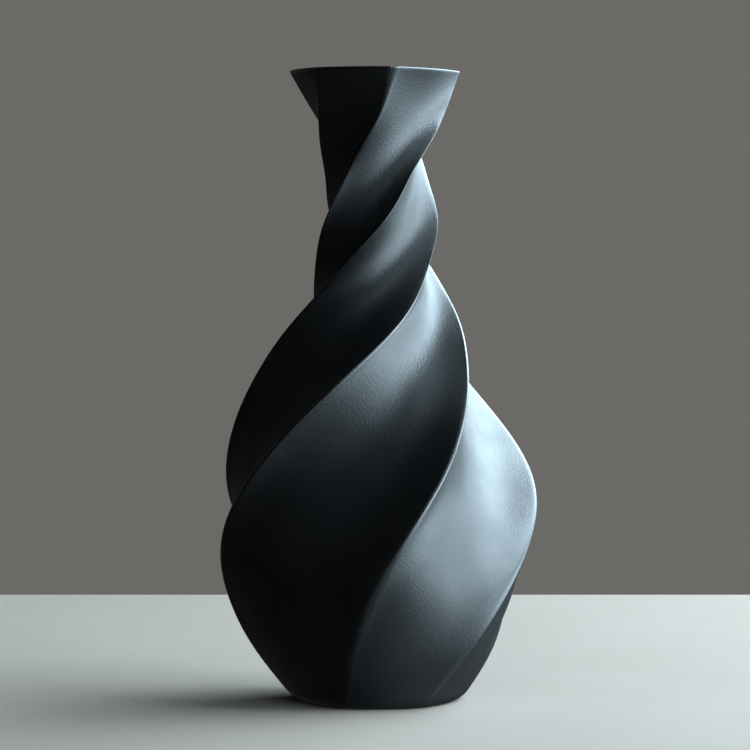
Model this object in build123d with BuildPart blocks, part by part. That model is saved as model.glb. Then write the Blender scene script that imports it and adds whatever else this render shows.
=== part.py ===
# Tall twisted flower vase of black fired clay, slab built.
# Millimetres, +Z up. The origin is the middle of the face it stands on.
#
# Five wall strips climb in a right-handed twist from a floor slab to the
# shoulder, and five neck strips carry them on to a thin lip. Neighbouring
# strips meet edge to edge at a sharp ridge, and each strip is hollowed between
# its two ridges. Inside the body a coil of clay is pressed into the corner
# behind each ridge, and another one runs round the floor.
import os
from math import atan, cos, radians, sin

import numpy as np
from build123d import *

# ---- driving dimensions -------------------------------------------------
HEIGHT = 300.0
STRIPS = 5
WALL = 3.5
FLOOR_THICKNESS = 6.0
FOOT_ROUND = 4.0                # rounding under the foot
NECK_FOOT = 190.0               # height where the neck is joined to the body
LIP_HEIGHT = 2.0
LIP_ROUND = 0.6
STATION_GAP = 10.0              # height between two sections of the walls, at most

COIL_SIDE = 5.0                 # how far a coil reaches along each wall from its corner
COIL_HOLLOW = 0.6               # how far its smoothed face is pressed in
COIL_EDGE = 0.6                 # thickness where the floor coil runs out on the wall
COIL_CLEARANCE = 0.2            # keeps curved faces that only touch from overlapping
COIL_TOP = NECK_FOOT - 2.0      # the neck is too narrow for a hand

FIRST_RIDGE = -124.0            # direction of the first ridge at the foot, from +X

# Distance of the ridges from the axis, by height.
RIDGE_RADIUS = (
    (0, 42.5), (20, 57.8), (50, 71.8), (95, 78), (140, 67), (175, 46),
    (195, 33.5), (210, 29.5), (230, 29.5), (250, 26), (270, 29.5), (300, 42.2),
)
# Turn of the ridges about the axis since the foot, in degrees, by height.
TWIST = (
    (0, 0), (60, 27.5), (110, 61.5), (150, 85), (175, 105),
    (200, 142), (225, 186), (250, 219), (275, 260), (300, 280),
)
# How deep a flute is hollowed below the straight line between its ridges,
# as a share of that line, by height. Below zero the strip bulges instead, so
# that the foot and the lip are nearly round.
FLUTE_DEPTH = (
    (0, -0.10), (30, -0.05), (60, -0.03), (100, 0.09), (150, 0.10),
    (190, 0.10), (225, 0.14), (255, 0.11), (280, 0.05), (300, -0.07),
)
# How much steeper a flute falls towards its last ridge than towards its first,
# as a slope in its middle, by height.
FLUTE_SKEW = (
    (0, 0), (10, 0), (40, 0.08), (80, 0.12), (160, 0.12),
    (240, 0.12), (275, 0.08), (292, 0), (300, 0),
)
FLUTE_SPANS = 12                # spans of the curve across a strip's outside
# Clay behind a ridge, along the radius, by height.
RIDGE_WALL = ((0, 3.8), (40, 4.2), (100, 5.6), (250, 5.6), (300, 4.2))

# The ridges were set by hand: degrees that each one leads the even spacing.
LEAD_HEIGHTS = (0, 50, 95, 145, 195, 245, 300)
RIDGE_LEAD = (
    (12, 8, -1, -6, -4, 8, 18),
    (-7, -5, -3, 9, 1, -2, 0),
    (-5, -10, 0, 1, 3, -1, -20),
    (-2, 10, 15, 2, -10, -2, 2),
    (-1, -5, -7, -1, 10, -3, 12),
)


# ---- the shape of the wall ----------------------------------------------
def smooth_curve(points):
    """Natural cubic spline through (height, value) points, as a function of height."""
    heights, values = np.array(points, dtype=float).T
    steps = np.diff(heights)
    slopes = np.diff(values) / steps
    count = len(heights)
    matrix = np.eye(count)
    right = np.zeros(count)
    for row in range(1, count - 1):
        matrix[row, row - 1] = steps[row - 1]
        matrix[row, row] = 2 * (steps[row - 1] + steps[row])
        matrix[row, row + 1] = steps[row]
        right[row] = 6 * (slopes[row] - slopes[row - 1])
    bends = np.linalg.solve(matrix, right)

    def value_at(height):
        span = int(np.clip(np.searchsorted(heights, height) - 1, 0, count - 2))
        step = steps[span]
        above = (height - heights[span]) / step
        below = 1 - above
        straight = below * values[span] + above * values[span + 1]
        bend = (below**3 - below) * bends[span] + (above**3 - above) * bends[span + 1]
        return float(straight + bend * step**2 / 6)

    return value_at


ridge_radius = smooth_curve(RIDGE_RADIUS)
twist = smooth_curve(TWIST)
flute_depth = smooth_curve(FLUTE_DEPTH)
flute_skew = smooth_curve(FLUTE_SKEW)
ridge_wall = smooth_curve(RIDGE_WALL)
ridge_lead = [smooth_curve(tuple(zip(LEAD_HEIGHTS, leads))) for leads in RIDGE_LEAD]


def polar(radius, angle):
    """Point of a section at this radius and this direction in degrees."""
    return (radius * cos(radians(angle)), radius * sin(radians(angle)))


def ridge_angle(ridge, height):
    """Direction of a ridge; ridge 5 is ridge 0 one turn further on."""
    turns, index = divmod(ridge, STRIPS)
    even = FIRST_RIDGE + 360 * (turns + index / STRIPS)
    return even + twist(height) + ridge_lead[index](height)


def flute_points(strip, height, corner_inset=0.0, middle_inset=0.0):
    """First ridge, middle and last ridge of a strip's face at a height."""
    first = ridge_angle(strip, height)
    last = ridge_angle(strip + 1, height)
    radius = ridge_radius(height)
    half_gap = radians((last - first) / 2)
    line_length = 2 * radius * sin(half_gap)
    middle = radius * cos(half_gap) - flute_depth(height) * line_length
    return (
        polar(radius - corner_inset, first),
        polar(middle - middle_inset, (first + last) / 2),
        polar(radius - corner_inset, last),
    )


def outer_points(strip, height):
    """Points across a strip's outside: the flute's arc, pushed in towards its last ridge."""
    first = ridge_angle(strip, height)
    last = ridge_angle(strip + 1, height)
    radius = ridge_radius(height)
    half_gap = radians((last - first) / 2)
    half_line = radius * sin(half_gap)
    turn = 2 * atan(2 * flute_depth(height))
    outward = Vector(*polar(1, (first + last) / 2))
    onward = Vector(-outward.Y, outward.X)
    points = []
    for share in np.linspace(-1, 1, FLUTE_SPANS + 1):
        below = half_line * (cos(share * turn) - cos(turn)) / sin(turn)
        below += half_line * flute_skew(height) * share * (1 - share**2) ** 2
        along = half_line * sin(share * turn) / sin(turn)
        points.append(outward * (radius * cos(half_gap) - below) + onward * along)
    points[0] = Vector(*polar(radius, first))
    points[-1] = Vector(*polar(radius, last))
    return points


def inside_level(height, extra=0.0):
    """Level of the inner outline, drawn in by this much more: height, corner and middle inset."""
    return (height, ridge_wall(height) * (1 + extra / WALL), WALL + extra)


def inner_points(strip, height, extra=0.0):
    """The same three points on the inside of the wall."""
    return flute_points(strip, *inside_level(height, extra))


def draw_outline(height, corner_inset=0.0, middle_inset=0.0):
    """Closed outline of five flutes, drawn in the current line context."""
    for strip in range(STRIPS):
        ThreePointArc(*flute_points(strip, height, corner_inset, middle_inset))


def fluted_solid(levels):
    """Solid through outlines given as (height, corner inset, middle inset)."""
    with BuildPart() as solid:
        for height, corner_inset, middle_inset in levels:
            with BuildSketch(Plane.XY.offset(height)):
                with BuildLine():
                    draw_outline(height, corner_inset, middle_inset)
                make_face()
        loft()
    return solid.part


def finish(shape, label):
    """Label a finished piece and write it."""
    shape.label = label
    export_step(shape, f"parts/{label}.step")


def stations(bottom, top):
    """Evenly spaced heights of the sections between two heights."""
    count = int(np.ceil((top - bottom) / STATION_GAP)) + 1
    return [float(height) for height in np.linspace(bottom, top, count)]


os.makedirs("parts", exist_ok=True)
WALL_TOP = HEIGHT - LIP_HEIGHT

# ---- floor slab: fluted outline, flat below, rounded where the walls start --
foot_levels = []
for turn in (0, 22.5, 45, 67.5, 90):
    rise = FOOT_ROUND * (1 - cos(radians(turn)))
    inset = FOOT_ROUND * (1 - sin(radians(turn)))
    foot_levels.append((rise, inset, inset))
foot_levels.append((FLOOR_THICKNESS, 0, 0))
finish(fluted_solid(foot_levels), "floor_slab")

# ---- strips: from ridge to ridge, in the body and again in the neck -------
def make_strip(strip, bottom, top):
    """One strip of the wall between two heights."""
    with BuildPart() as piece:
        for height in stations(bottom, top):
            outer = outer_points(strip, height)
            inner = inner_points(strip, height)
            with BuildSketch(Plane.XY.offset(height)):
                with BuildLine():
                    Spline(*outer)
                    Line(outer[-1], inner[-1])
                    ThreePointArc(*reversed(inner))
                    Line(inner[0], outer[0])
                make_face()
        loft()
    return piece.part


for strip in range(STRIPS):
    finish(make_strip(strip, FLOOR_THICKNESS, NECK_FOOT), f"wall_strip_{strip + 1}")
    finish(make_strip(strip, NECK_FOOT, WALL_TOP), f"neck_strip_{strip + 1}")

# ---- lip: a thin rounded band that closes the strips at the mouth ---------
with BuildPart() as rim_lip:
    add(fluted_solid([
        (WALL_TOP, 0, 0),
        (HEIGHT - LIP_ROUND, 0, 0),
        (HEIGHT, LIP_ROUND, LIP_ROUND),
    ]))
    add(fluted_solid([
        inside_level(WALL_TOP),
        inside_level(HEIGHT - LIP_ROUND),
        (HEIGHT, ridge_wall(HEIGHT) - LIP_ROUND, WALL - LIP_ROUND),
    ]), mode=Mode.SUBTRACT)
finish(rim_lip.part, "rim_lip")

# ---- seam coils: pressed into the corner behind each ridge, up to the shoulder
floor_coil_top = FLOOR_THICKNESS + COIL_SIDE
for ridge in range(STRIPS):
    with BuildPart() as seam_coil:
        for height in stations(floor_coil_top + COIL_CLEARANCE, COIL_TOP):
            next_wall = ThreePointArc(*inner_points(ridge, height, COIL_CLEARANCE))
            last_wall = ThreePointArc(*reversed(inner_points(ridge - 1, height, COIL_CLEARANCE)))
            corner, next_middle, next_end = (
                next_wall @ (reach / next_wall.length) for reach in (0, COIL_SIDE / 2, COIL_SIDE))
            last_middle, last_end = (
                last_wall @ (reach / last_wall.length) for reach in (COIL_SIDE / 2, COIL_SIDE))
            face_middle = (next_end + last_end) / 2
            face_middle += (corner - face_middle).normalized() * COIL_HOLLOW
            with BuildSketch(Plane.XY.offset(height)):
                with BuildLine():
                    ThreePointArc(corner, next_middle, next_end)
                    ThreePointArc(next_end, face_middle, last_end)
                    ThreePointArc(last_end, last_middle, corner)
                make_face()
        loft()
    finish(seam_coil.part, f"seam_coil_{ridge + 1}")


# ---- floor coil: the same where the walls stand on the floor --------------
floor_coil_middle = FLOOR_THICKNESS + COIL_SIDE / 2
coil_middle_width = (COIL_SIDE + COIL_EDGE) / 2 - COIL_HOLLOW
with BuildPart() as floor_coil:
    add(fluted_solid([
        inside_level(height, COIL_CLEARANCE)
        for height in (FLOOR_THICKNESS, floor_coil_middle, floor_coil_top)
    ]))
    add(fluted_solid([
        inside_level(FLOOR_THICKNESS, COIL_SIDE),
        inside_level(floor_coil_middle, coil_middle_width),
        inside_level(floor_coil_top, COIL_EDGE),
    ]), mode=Mode.SUBTRACT)
finish(floor_coil.part, "floor_coil")
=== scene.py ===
import math

import bpy
import numpy as np
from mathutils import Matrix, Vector


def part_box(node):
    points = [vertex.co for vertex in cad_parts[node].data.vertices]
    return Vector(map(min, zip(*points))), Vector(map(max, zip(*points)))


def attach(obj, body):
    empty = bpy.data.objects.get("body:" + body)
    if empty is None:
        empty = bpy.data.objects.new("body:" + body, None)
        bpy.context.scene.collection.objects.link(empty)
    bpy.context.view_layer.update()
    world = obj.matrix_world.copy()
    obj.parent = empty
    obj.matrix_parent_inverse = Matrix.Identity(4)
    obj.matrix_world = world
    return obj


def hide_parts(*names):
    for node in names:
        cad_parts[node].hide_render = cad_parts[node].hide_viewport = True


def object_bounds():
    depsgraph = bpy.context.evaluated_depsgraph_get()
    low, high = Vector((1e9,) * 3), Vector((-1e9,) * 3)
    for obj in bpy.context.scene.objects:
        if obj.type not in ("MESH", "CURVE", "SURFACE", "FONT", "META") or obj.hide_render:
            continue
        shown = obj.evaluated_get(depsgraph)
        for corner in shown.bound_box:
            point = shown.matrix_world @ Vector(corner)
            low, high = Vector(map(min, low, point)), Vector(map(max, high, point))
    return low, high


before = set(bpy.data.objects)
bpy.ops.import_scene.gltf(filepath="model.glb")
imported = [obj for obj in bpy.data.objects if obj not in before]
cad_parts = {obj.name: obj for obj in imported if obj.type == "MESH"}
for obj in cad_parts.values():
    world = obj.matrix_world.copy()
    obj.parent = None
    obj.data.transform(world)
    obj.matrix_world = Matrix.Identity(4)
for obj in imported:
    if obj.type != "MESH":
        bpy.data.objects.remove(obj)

CAD_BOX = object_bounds()

# A tall twisted vase of black fired clay. Five hollowed strips climb from the
# foot to the lip and meet at rounded ridges. Heights are above the face that
# the vase stands on. Lengths are in metres, angles in degrees unless the name
# says radians.
MM = 0.001
HEIGHT = CAD_BOX[1].z
STRIPS = 5
WALL = 3.5 * MM
LIP_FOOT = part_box("rim_lip")[0].z
FLOOR_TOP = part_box("floor_slab")[1].z

# The tables below go by height in mm, with distances in mm.
FIRST_RIDGE = -124.0    # direction of the first ridge at the foot, from +X
# Distance of the ridges from the axis.
RIDGE_RADIUS = (
    (0, 42.5), (20, 57.8), (50, 71.8), (95, 78), (140, 67), (175, 46),
    (195, 33.5), (210, 29.5), (230, 29.5), (250, 26), (270, 29.5), (300, 42.2),
)
# Turn of the ridges about the axis since the foot, in degrees.
TWIST = (
    (0, 0), (60, 27.5), (110, 61.5), (150, 85), (175, 105),
    (200, 142), (225, 186), (250, 219), (275, 260), (300, 280),
)
# How deep a flute is, as a share of the line between its ridges. Below zero it
# bulges.
FLUTE_DEPTH = (
    (0, -0.10), (30, -0.05), (60, -0.03), (100, 0.09), (150, 0.10),
    (190, 0.10), (225, 0.14), (255, 0.11), (280, 0.05), (300, -0.07),
)
# How much steeper a flute falls towards its last ridge than its first.
FLUTE_SKEW = (
    (0, 0), (10, 0), (40, 0.08), (80, 0.12), (160, 0.12),
    (240, 0.12), (275, 0.08), (292, 0), (300, 0),
)
# Clay behind a ridge, along the radius.
RIDGE_WALL = ((0, 3.8), (40, 4.2), (100, 5.6), (250, 5.6), (300, 4.2))
# How far each ridge runs ahead of its even place, in degrees, at these heights.
LEAD_HEIGHTS = (0, 50, 95, 145, 195, 245, 300)
RIDGE_LEAD = (
    (12, 8, -1, -6, -4, 8, 18),
    (-7, -5, -3, 9, 1, -2, 0),
    (-5, -10, 0, 1, 3, -1, -20),
    (-2, 10, 15, 2, -10, -2, 2),
    (-1, -5, -7, -1, 10, -3, 12),
)

# How far a ridge is rounded back from its sharp corner, in mm, by height.
RIDGE_ROUND = (
    (0, 0.3), (60, 1.0), (120, 1.8), (180, 0.8),
    (250, 0.45), (275, 0.6), (300, 1.2),
)

LIP_ROUND = 1.0 * MM    # height of the lip's rounding
LIP_SQUARE = 0.6        # how square it is: 1 is a half ellipse
FOOT_ROUND = 4.0 * MM   # rounding under the foot

BODY_ROWS = 180         # heights in a wall strip
NECK_ROWS = 110         # heights in a neck strip
FLUTE_STEPS = 40        # steps across a flute
ROUND_STEPS = 8         # steps round each side of a ridge
ROUND_SHARE = 0.15      # most of a half flute that a ridge's rounding takes
INSIDE_STEPS = 20       # steps across a flute on the inside
LIP_STEPS = 12          # steps over the lip's rounding
FOOT_STEPS = 6          # steps round the foot's edge
SLAB_STEPS = 4          # steps up the slab's side above its edge
SLAB_RINGS = (0.3, 0.6, 0.85)   # rings on the slab's faces, as shares of its outline
CREASE = math.radians(40)       # faces that meet at more than this stay sharp
FLAT_TURN = 1e-6        # turn of an arc, in radians, below which it counts as straight


# ---- the shape ------------------------------------------------------------
def smooth_curve(heights, values):
    """Natural cubic spline through the values at these heights in millimetres.

    Between two heights the value is the straight mix of its neighbours plus
    a cubic bend, and the bends are those that keep slope and curvature even.
    """
    knots = np.array(heights, float)
    values = np.array(values, float)
    steps = np.diff(knots)
    slopes = np.diff(values) / steps
    count = len(knots)
    matrix = np.eye(count)
    right = np.zeros(count)
    for row in range(1, count - 1):
        matrix[row, row - 1:row + 2] = steps[row - 1], 2 * (steps[row - 1] + steps[row]), steps[row]
        right[row] = 6 * (slopes[row] - slopes[row - 1])
    bends = np.linalg.solve(matrix, right)

    def value_at(height):
        level = np.asarray(height) / MM
        span = np.clip(np.searchsorted(knots, level) - 1, 0, count - 2)
        step = steps[span]
        above = (level - knots[span]) / step
        below = 1 - above
        bend = (below**3 - below) * bends[span] + (above**3 - above) * bends[span + 1]
        return below * values[span] + above * values[span + 1] + bend * step**2 / 6

    return value_at


ridge_radius_mm = smooth_curve(*zip(*RIDGE_RADIUS))
twist = smooth_curve(*zip(*TWIST))
flute_depth = smooth_curve(*zip(*FLUTE_DEPTH))
flute_skew = smooth_curve(*zip(*FLUTE_SKEW))
ridge_wall_mm = smooth_curve(*zip(*RIDGE_WALL))
ridge_round_mm = smooth_curve(*zip(*RIDGE_ROUND))
ridge_lead = [smooth_curve(LEAD_HEIGHTS, leads) for leads in RIDGE_LEAD]


def ridge_angle(ridge, height):
    """Direction of a ridge in radians: its even place, plus the twist, plus its own lead."""
    turns, index = divmod(ridge, STRIPS)
    even = FIRST_RIDGE + 360 * (turns + index / STRIPS)
    return np.radians(even + twist(height) + ridge_lead[index](height))


def flute_arc(radius, half_gap, depth, share):
    """Arc from ridge to ridge with its middle on the real axis, as complex points.

    Over a chord of length 2a = 2 * radius * sin(half_gap) the arc turns by T
    to each side of its middle, where tan(T/2) is twice the depth. At a share
    t from -1 to 1 it lies a * (cos(tT) - cos(T)) / sin(T) below the chord and
    a * sin(tT) / sin(T) along it. A depth below zero makes it bulge out.
    """
    half_chord = radius * np.sin(half_gap)
    turn = 2 * np.arctan(2 * depth)
    turn = np.where(np.abs(turn) < FLAT_TURN, FLAT_TURN, turn)
    below = half_chord * (np.cos(share * turn) - np.cos(turn)) / np.sin(turn)
    along = half_chord * np.sin(share * turn) / np.sin(turn)
    return radius * np.cos(half_gap) - below + 1j * along


def outer_profile(strip, height, inset=0.0):
    """Outside of a strip at each height, from ridge to ridge, as complex points.

    The flute is a circular arc. At a share t from -1 to 1 across it, the half
    chord times the skew times t * (1 - t * t) squared is added to its depth,
    so it is deeper towards its last ridge. At each ridge a fillet joins it to
    the direction square to the radius, so that neighbouring strips run into
    each other smoothly. With half angle b at the ridge and recess e, the
    fillet's radius is e * sin(b) / (1 - sin(b)) and it takes
    e * cos(b) / (1 - sin(b)) of the arc, which is held to a share of it where
    the ridge runs out.
    """
    height = np.asarray(height, float)[:, None]
    first = ridge_angle(strip, height)
    last = ridge_angle(strip + 1, height)
    radius = ridge_radius_mm(height) * MM - inset
    half_gap = (last - first) / 2
    depth = flute_depth(height)
    turn = 2 * np.arctan(2 * depth)
    corner = np.pi / 2 - half_gap - turn
    half_chord = radius * np.sin(half_gap)
    half_length = half_chord * np.where(np.abs(turn) < FLAT_TURN, 1, turn / np.sin(turn))

    spread = np.cos(corner) / (1 - np.sin(corner))
    recess = np.minimum(ridge_round_mm(height) * MM, ROUND_SHARE * half_length / spread)
    fillet = recess * np.sin(corner) / (1 - np.sin(corner))
    reach = 1 - recess * spread / half_length
    share = np.linspace(-1, 1, FLUTE_STEPS + 1)[None, :]
    body = flute_arc(radius, half_gap, depth, reach * share)
    body = body - half_chord * flute_skew(height) * share * (1 - share**2) ** 2
    body = body * np.exp(0.5j * (first + last))

    sweep = (np.pi / 2 - corner) * (np.arange(ROUND_STEPS)[None, :] / ROUND_STEPS)
    centre = radius - recess - fillet
    round_start = centre * np.exp(1j * first) + fillet * np.exp(1j * (first + sweep))
    round_end = centre * np.exp(1j * last) + fillet * np.exp(1j * (last - sweep[:, ::-1]))
    return np.concatenate([round_start, body, round_end], axis=1)


def inner_profile(strip, height, steps=INSIDE_STEPS):
    """Inside of a strip at each height, from ridge to ridge: one arc set in by the wall."""
    height = np.asarray(height, float)[:, None]
    first = ridge_angle(strip, height)
    last = ridge_angle(strip + 1, height)
    radius = ridge_radius_mm(height) * MM
    half_gap = (last - first) / 2
    middle = radius * (np.cos(half_gap) - 2 * flute_depth(height) * np.sin(half_gap)) - WALL
    corner_radius = radius - ridge_wall_mm(height) * MM
    dip = corner_radius * np.cos(half_gap) - middle
    depth = dip / (2 * corner_radius * np.sin(half_gap))
    share = np.linspace(-1, 1, steps + 1)[None, :]
    return flute_arc(corner_radius, half_gap, depth, share) * np.exp(0.5j * (first + last))


def outline(level, inset=0.0):
    """Whole outer outline at one height, drawn in by the inset, ridge after ridge."""
    parts = [outer_profile(strip, [level], inset)[0, :-1] for strip in range(STRIPS)]
    return np.concatenate(parts)


def build_piece(name, vertices, faces, ridge_gap=None):
    """Mesh object from arrays, smooth but for its creases, with each point's gap to a ridge."""
    mesh = bpy.data.meshes.new(name)
    mesh.from_pydata(vertices.tolist(), [], faces)
    mesh.shade_smooth()
    mesh.set_sharp_from_angle(angle=CREASE)
    if ridge_gap is not None:
        mesh.attributes.new("ridge_gap", "FLOAT", "POINT").data.foreach_set("value", ridge_gap)
    piece = bpy.data.objects.new(name, mesh)
    bpy.context.collection.objects.link(piece)
    return piece


def lay(profile, heights):
    """Vertices (x, y, z) of a grid of complex points whose rows have these heights."""
    rows = np.broadcast_to(np.asarray(heights, float)[:, None], profile.shape)
    return np.stack([profile.real, profile.imag, rows], axis=-1).reshape(-1, 3)


def grid_faces(rows, columns, wrap_rows=False):
    """Quads between neighbouring rows of a grid whose columns close into a loop."""
    row = np.arange(rows if wrap_rows else rows - 1)[:, None]
    column = np.arange(columns)[None, :]
    after = (row + 1) % rows
    beside = (column + 1) % columns
    corners = [row * columns + column, row * columns + beside,
               after * columns + beside, after * columns + column]
    return np.stack([np.broadcast_to(c, (len(row), columns)) for c in corners], -1).reshape(-1, 4)


def wall_piece(name, strip, bottom, top, rows):
    """Part of a strip between two heights: its outside, its two seam faces and its inside."""
    heights = np.linspace(bottom, top, rows)
    outer = outer_profile(strip, heights)
    inner = inner_profile(strip, heights)[:, ::-1]
    section = np.concatenate([outer, inner], axis=1)
    columns = section.shape[1]
    faces = grid_faces(rows, columns).tolist()
    faces.append(list(range(columns))[::-1])
    faces.append(list(range((rows - 1) * columns, rows * columns)))
    gap = np.minimum(np.abs(outer - outer[:, :1]), np.abs(outer - outer[:, -1:]))
    gap = np.concatenate([gap, np.full(inner.shape, WALL)], axis=1)
    return build_piece(name, lay(section, heights), faces, gap.ravel())


def lip_piece(name):
    """Band at the mouth: a half ellipse, squared a little, from the outside over to the inside.

    Across the band the share from outside to inside is (1 - c) / 2 and the
    height above the shoulder of the curve is its rounding times s, where c
    and s are the cosine and sine to the power LIP_SQUARE with their signs
    kept. The outer half of the rounding is polished as a ridge is.
    """
    shoulder = HEIGHT - LIP_ROUND
    turn = np.linspace(0, np.pi, LIP_STEPS + 1)
    across = (1 - np.sign(np.cos(turn)) * np.abs(np.cos(turn)) ** LIP_SQUARE) / 2
    rise = np.abs(np.sin(turn)) ** LIP_SQUARE * LIP_ROUND
    heights = np.concatenate([[LIP_FOOT], shoulder + rise, [LIP_FOOT]])
    across = np.concatenate([[0], across, [1]])
    outside = [outer_profile(strip, heights)[:, :-1] for strip in range(STRIPS)]
    steps = outside[0].shape[1]
    inside = [inner_profile(strip, heights, steps)[:, :-1] for strip in range(STRIPS)]
    outside = np.concatenate(outside, axis=1)
    inside = np.concatenate(inside, axis=1)
    section = outside + (inside - outside) * across[:, None]
    faces = grid_faces(len(heights), section.shape[1], wrap_rows=True)
    gap = np.full(section.shape, WALL)
    gap[1:LIP_STEPS // 2 + 2] = 0
    return build_piece(name, lay(section, heights), faces.tolist(), gap.ravel())


def slab_piece(name):
    """Floor slab: rings from the middle of the underside out, up round the edge and back in on top.

    The lower edge is a quarter circle: at angle a the outline is drawn in by
    r(1 - sin a) and stands r(1 - cos a) high. A point in the middle closes
    each face.
    """
    turn = np.linspace(0, np.pi / 2, FOOT_STEPS + 1)
    edge_inset = FOOT_ROUND * (1 - np.sin(turn))
    edge_height = FOOT_ROUND * (1 - np.cos(turn))
    side_height = np.linspace(FOOT_ROUND, FLOOR_TOP, SLAB_STEPS + 1)[1:]
    levels = np.concatenate([edge_height, side_height])
    insets = np.concatenate([edge_inset, np.zeros(SLAB_STEPS)])
    rings = [outline(height, inset) for height, inset in zip(levels, insets)]
    under = [rings[0] * share for share in SLAB_RINGS]
    top = [rings[-1] * share for share in reversed(SLAB_RINGS)]
    section = np.array(under + rings + top)
    count = len(SLAB_RINGS)
    heights = np.concatenate([np.zeros(count), levels, np.full(count, FLOOR_TOP)])
    vertices = lay(section, heights)
    rows, columns = section.shape
    faces = grid_faces(rows, columns).tolist()
    low, high = len(vertices), len(vertices) + 1
    vertices = np.concatenate([vertices, [[0, 0, 0], [0, 0, FLOOR_TOP]]])
    last = (rows - 1) * columns
    faces += [[low, (step + 1) % columns, step] for step in range(columns)]
    faces += [[high, last + step, last + (step + 1) % columns] for step in range(columns)]
    return build_piece(name, vertices, faces, np.full(len(vertices), WALL))


# ---- materials --------------------------------------------------------------
GRAIN_SIZE = 0.8 * MM
GRAIN_DEPTH = 0.13 * MM
WAVE_SIZE = 30 * MM
WAVE_DEPTH = 0.18 * MM
SPECKLE_FROM, SPECKLE_TO = 0.62, 0.72   # grain heights where light specks begin and are full
SPECKLE_SHARE = 0.35
CLOUDS_PER_METRE = 45.0         # patches of more and less burnish
RUB_REACH = 3.0 * MM            # how far the polish reaches from a ridge
RUB_COAT = 0.9                  # how much of a glossy skin the ridges have
COAT_ROUGHNESS = 0.12
CLAY_IOR = 1.8
CLAY_SPECULAR = 0.6
FLOOR_DARK = (0.54, 0.45, 0.38, 1)
FLOOR_LIGHT = (0.63, 0.53, 0.46, 1)


def new_group(name, inputs, outputs):
    """Node group with named sockets: (name, kind, default) in and (name, kind) out."""
    group = bpy.data.node_groups.new(name, "ShaderNodeTree")
    for label, kind, default in inputs:
        socket = group.interface.new_socket(label, in_out="INPUT", socket_type=kind)
        socket.default_value = default
    for label, kind in outputs:
        group.interface.new_socket(label, in_out="OUTPUT", socket_type=kind)
    return group, group.nodes.new("NodeGroupInput"), group.nodes.new("NodeGroupOutput")


class Wiring:
    """Short hand for adding and joining nodes of one tree."""

    def __init__(self, tree):
        self.tree = tree

    def add(self, kind, **settings):
        node = self.tree.nodes.new(kind)
        for key, value in settings.items():
            setattr(node, key, value)
        return node

    def put(self, socket, source):
        if isinstance(source, bpy.types.NodeSocket):
            self.tree.links.new(source, socket)
        else:
            socket.default_value = source

    def math(self, operation, *values):
        node = self.add("ShaderNodeMath", operation=operation)
        for socket, value in zip(node.inputs, values):
            self.put(socket, value)
        return node.outputs[0]

    def noise(self, place, scale, detail=2.0, rough=0.5):
        node = self.add("ShaderNodeTexNoise")
        self.put(node.inputs["Vector"], place)
        self.put(node.inputs["Scale"], scale)
        self.put(node.inputs["Detail"], detail)
        self.put(node.inputs["Roughness"], rough)
        return node.outputs["Fac"]

    def ramp(self, value, low, high, out_low=0.0, out_high=1.0):
        node = self.add("ShaderNodeMapRange", clamp=True)
        for label, number in (("From Min", low), ("From Max", high),
                              ("To Min", out_low), ("To Max", out_high)):
            self.put(node.inputs[label], number)
        self.put(node.inputs["Value"], value)
        return node.outputs["Result"]

    def blend(self, share, first, second):
        node = self.add("ShaderNodeMix", data_type="RGBA")
        self.put(node.inputs["Factor"], share)
        self.put(node.inputs["A"], first)
        self.put(node.inputs["B"], second)
        return node.outputs["Result"]


def clay_grain_group():
    """Fine fired grain over slow hand-smoothed waves, as a height, and a speckle mask."""
    group, entry, result = new_group(
        "clay grain",
        [("Grain size", "NodeSocketFloat", GRAIN_SIZE), ("Grain depth", "NodeSocketFloat", GRAIN_DEPTH),
         ("Wave size", "NodeSocketFloat", WAVE_SIZE), ("Wave depth", "NodeSocketFloat", WAVE_DEPTH)],
        [("Height", "NodeSocketFloat"), ("Speckle", "NodeSocketFloat")])
    w = Wiring(group)
    place = w.add("ShaderNodeTexCoord").outputs["Object"]
    grain = w.noise(place, w.math("DIVIDE", 1.0, entry.outputs["Grain size"]), 2.0, 0.6)
    waves = w.noise(place, w.math("DIVIDE", 1.0, entry.outputs["Wave size"]), 1.0, 0.4)
    height = w.math("ADD", w.math("MULTIPLY", grain, entry.outputs["Grain depth"]),
                    w.math("MULTIPLY", waves, entry.outputs["Wave depth"]))
    w.put(result.inputs["Height"], height)
    w.put(result.inputs["Speckle"], w.ramp(grain, SPECKLE_FROM, SPECKLE_TO))
    return group


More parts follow.
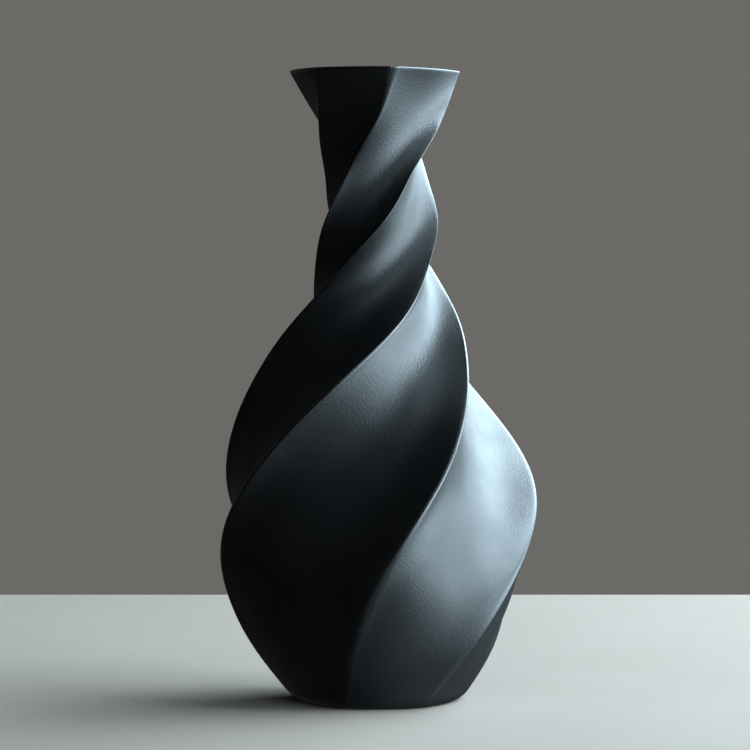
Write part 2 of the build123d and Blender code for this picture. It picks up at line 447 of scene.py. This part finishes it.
def clay_material(name, grain, dark, light, dull, shine, rub_shine, depth):
    """Black fired clay: burnished unevenly, polished and glossier near the ridges.

    A piece without the ridge_gap attribute, such as a coil, counts as a ridge
    all over.
    """
    material = bpy.data.materials.new(name)
    material.use_nodes = True
    tree = material.node_tree
    w = Wiring(tree)
    shader = tree.nodes["Principled BSDF"]
    place = w.add("ShaderNodeTexCoord").outputs["Object"]
    grained = w.add("ShaderNodeGroup", node_tree=grain)
    w.put(grained.inputs["Grain depth"], GRAIN_DEPTH * depth)
    w.put(grained.inputs["Wave depth"], WAVE_DEPTH * depth)
    cloud = w.ramp(w.noise(place, CLOUDS_PER_METRE, 3.0, 0.6), 0.35, 0.65)
    rub = w.ramp(w.add("ShaderNodeAttribute", attribute_name="ridge_gap").outputs["Fac"],
                 0.0, RUB_REACH, 1.0, 0.0)
    colour = w.blend(cloud, dark, light)
    colour = w.blend(w.math("MULTIPLY", grained.outputs["Speckle"], SPECKLE_SHARE), colour, light)
    w.put(shader.inputs["Base Color"], colour)
    polish = w.ramp(cloud, 0.0, 1.0, dull, shine)
    rough = w.add("ShaderNodeMix", data_type="FLOAT")
    w.put(rough.inputs["Factor"], rub)
    w.put(rough.inputs["A"], polish)
    w.put(rough.inputs["B"], rub_shine)
    w.put(shader.inputs["Roughness"], rough.outputs["Result"])
    w.put(shader.inputs["Coat Weight"], w.math("MULTIPLY", rub, RUB_COAT))
    shader.inputs["Coat Roughness"].default_value = COAT_ROUGHNESS
    bump = w.add("ShaderNodeBump")
    bump.inputs["Strength"].default_value = 1.0
    bump.inputs["Distance"].default_value = 1.0
    w.put(bump.inputs["Height"], grained.outputs["Height"])
    w.put(shader.inputs["Normal"], bump.outputs["Normal"])
    shader.inputs["IOR"].default_value = CLAY_IOR
    shader.inputs["Specular IOR Level"].default_value = CLAY_SPECULAR
    return material


def floor_material():
    """Plain pale board with a faint grain."""
    material = bpy.data.materials.new("pale floor")
    material.use_nodes = True
    w = Wiring(material.node_tree)
    shader = material.node_tree.nodes["Principled BSDF"]
    place = w.add("ShaderNodeTexCoord").outputs["Object"]
    w.put(shader.inputs["Base Color"],
          w.blend(w.noise(place, 9.0, 4.0, 0.6), FLOOR_DARK, FLOOR_LIGHT))
    shader.inputs["Roughness"].default_value = 0.75
    shader.inputs["Specular IOR Level"].default_value = 0.25
    return material


# ---- camera -----------------------------------------------------------------
EYE = Vector((-0.0008, -1.762, 0.2108))
AIM = Vector((-0.0008, 0.0, 0.1551))
LENS = 177.6            # in mm, as is the sensor
SENSOR = 36.0

camera_data = bpy.data.cameras.new("camera")
camera_data.lens = LENS
camera_data.sensor_width = SENSOR
camera = bpy.data.objects.new("camera", camera_data)
camera.location = EYE
camera.rotation_euler = (AIM - EYE).to_track_quat("-Z", "Y").to_euler()
bpy.context.collection.objects.link(camera)
bpy.context.scene.camera = camera

# ---- pieces -----------------------------------------------------------------
grain = clay_grain_group()
burnished = clay_material(
    "burnished black clay", grain,
    dark=(0.0040, 0.0043, 0.0047, 1), light=(0.008, 0.0085, 0.0092, 1),
    dull=0.42, shine=0.35, rub_shine=0.20, depth=1.0)
raw = clay_material(
    "raw black clay", grain,
    dark=(0.012, 0.0115, 0.011, 1), light=(0.022, 0.021, 0.020, 1),
    dull=0.75, shine=0.65, rub_shine=0.6, depth=2.5)


def place_piece(piece, node, material):
    """Give a new piece its finish and its body, and hide the node that it stands for."""
    piece.data.materials.append(material)
    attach(piece, "root")
    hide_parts(node)


for strip in range(STRIPS):
    for kind, rows in (("wall_strip", BODY_ROWS), ("neck_strip", NECK_ROWS)):
        node = f"{kind}_{strip + 1}"
        bottom, top = (corner.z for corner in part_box(node))
        piece = wall_piece(f"{node}_clay", strip, bottom, top, rows)
        place_piece(piece, node, burnished)
place_piece(lip_piece("rim_lip_clay"), "rim_lip", burnished)
place_piece(slab_piece("floor_slab_clay"), "floor_slab", burnished)

for node in [f"seam_coil_{ridge + 1}" for ridge in range(STRIPS)] + ["floor_coil"]:
    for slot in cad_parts[node].material_slots:
        slot.material = raw

# ---- floor and light ----------------------------------------------------------
FLOOR_REACH = 4.0
FLOOR_BACK = 0.55       # where the floor ends behind the vase
floor_mesh = bpy.data.meshes.new("floor")
floor_mesh.from_pydata([(-FLOOR_REACH, -FLOOR_REACH, 0), (FLOOR_REACH, -FLOOR_REACH, 0),
                        (FLOOR_REACH, FLOOR_BACK, 0), (-FLOOR_REACH, FLOOR_BACK, 0)],
                       [], [(0, 1, 2, 3)])
floor = bpy.data.objects.new("floor", floor_mesh)
bpy.context.collection.objects.link(floor)
floor_mesh.materials.append(floor_material())
floor.visible_glossy = False    # the clay doesn't reflect it

MIDDLE = Vector((0, 0, HEIGHT / 2))
COOL = (0.66, 0.87, 1.0)
# Azimuth, elevation and distance, width, height and watts of each soft light.
WINDOWS = (
    ("tall window", (105, 37, 1.5), 2.8, 0.85, 41.0),
    ("window middle", (107, 44, 1.45), 0.8, 0.45, 4.8),
    ("low window", (80, 10, 1.5), 3.6, 0.74, 28.0),
    ("back window", (142, 20, 1.45), 0.9, 0.9, 8.0),
    ("ridge strip", (62, 28, 1.5), 0.14, 1.6, 4.2),
    ("front fill", (12, 52, 1.6), 1.3, 1.0, 3.5),
)
BACKDROP = (0.150, 0.144, 0.136, 1)
DIM_ROOM = (0.010, 0.011, 0.012, 1)
LOWER_RIGHT = (0.20, 0.26, 0.30, 1)
BEHIND = (0.035, 0.033, 0.031, 1)
LOW_GLOW = (3.2, 4.2, 4.8, 1)


def soft_light(name, place, width, tall, power):
    """Rectangular soft box that faces the middle of the vase and isn't seen itself."""
    data = bpy.data.lights.new(name, "AREA")
    data.shape = "RECTANGLE"
    data.size = width
    data.size_y = tall
    data.energy = power
    data.color = COOL
    light = bpy.data.objects.new(name, data)
    light.location = place
    light.rotation_euler = (MIDDLE - Vector(place)).to_track_quat("-Z", "Y").to_euler()
    light.visible_camera = False
    bpy.context.collection.objects.link(light)


def place_round(azimuth, elevation, distance):
    """Place round the vase: azimuth 0 is the camera's side and 90 the right, in degrees."""
    turn, lift = math.radians(azimuth), math.radians(elevation)
    flat = distance * math.cos(lift)
    return (flat * math.sin(turn), -flat * math.cos(turn), MIDDLE.z + distance * math.sin(lift))


for name, place, width, tall, power in WINDOWS:
    soft_light(name, place_round(*place), width, tall, power)


def studio_world():
    """Plain backdrop for the eye; for the clay a dim room with a soft glow low down on the right."""
    world = bpy.data.worlds.new("studio")
    world.use_nodes = True
    w = Wiring(world.node_tree)
    parts = w.add("ShaderNodeSeparateXYZ")
    w.put(parts.inputs[0], w.add("ShaderNodeTexCoord").outputs["Generated"])
    across, along, up = parts.outputs
    below = w.ramp(up, 0.0, -0.25)
    right = w.ramp(across, -0.1, 0.6)
    room = w.blend(w.math("MULTIPLY", below, right), DIM_ROOM, LOWER_RIGHT)
    room = w.blend(w.ramp(along, 0.3, 0.95), room, BEHIND)
    glow = w.math("MULTIPLY", w.ramp(across, 0.6, 0.95), w.ramp(up, -0.6, -0.3))
    glow = w.math("MULTIPLY", glow, w.ramp(up, 0.02, -0.1))
    room = w.blend(glow, room, LOW_GLOW)
    seen = w.add("ShaderNodeLightPath").outputs["Is Camera Ray"]
    sky = world.node_tree.nodes["Background"]
    w.put(sky.inputs["Color"], w.blend(seen, room, BACKDROP))
    sky.inputs["Strength"].default_value = 1.0
    return world


bpy.context.scene.world = studio_world()
bpy.context.scene.view_settings.view_transform = "Standard"
